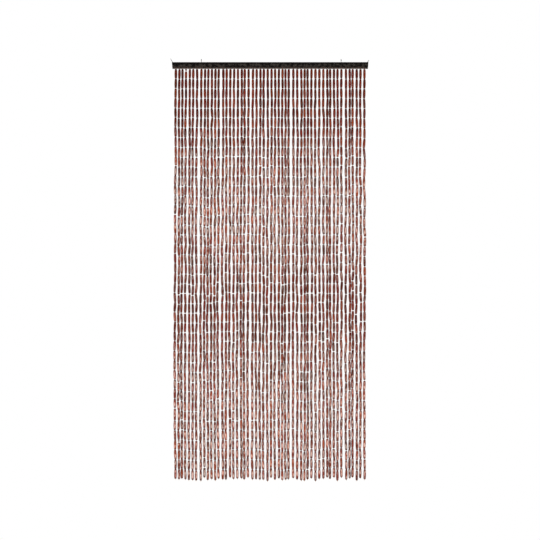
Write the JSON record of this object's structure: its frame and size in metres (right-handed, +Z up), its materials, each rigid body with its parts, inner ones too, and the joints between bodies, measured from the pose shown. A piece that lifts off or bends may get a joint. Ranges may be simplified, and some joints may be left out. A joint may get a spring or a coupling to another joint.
{
  "type": "header rail with bead curtain",
  "caption": "Wooden bead curtain for a doorway: strings of spindle-shaped beads hanging from a black header rail with screw eyes on top.",
  "frame": {"origin": "the middle of the header rail's flat back face", "axes": "+Z up, against the way the strings hang; +X along the rail; the front looks along -Y and the rail's back along +Y"},
  "size_m": [0.9506, 0.016, 2.0191],
  "materials": {
    "black_lacquer": "black semi-gloss lacquer on wood",
    "varnished_wood": "red-brown stain under gloss varnish",
    "galvanised_wire": "galvanised steel wire"
  },
  "bodies": {
    "root": {"header_rail": "black_lacquer", "bead_strands": "varnished_wood", "screw_eye_left": "galvanised_wire", "screw_eye_right": "galvanised_wire", "end_pin_left": "galvanised_wire", "end_pin_right": "galvanised_wire"}
  },
  "joints": []
}
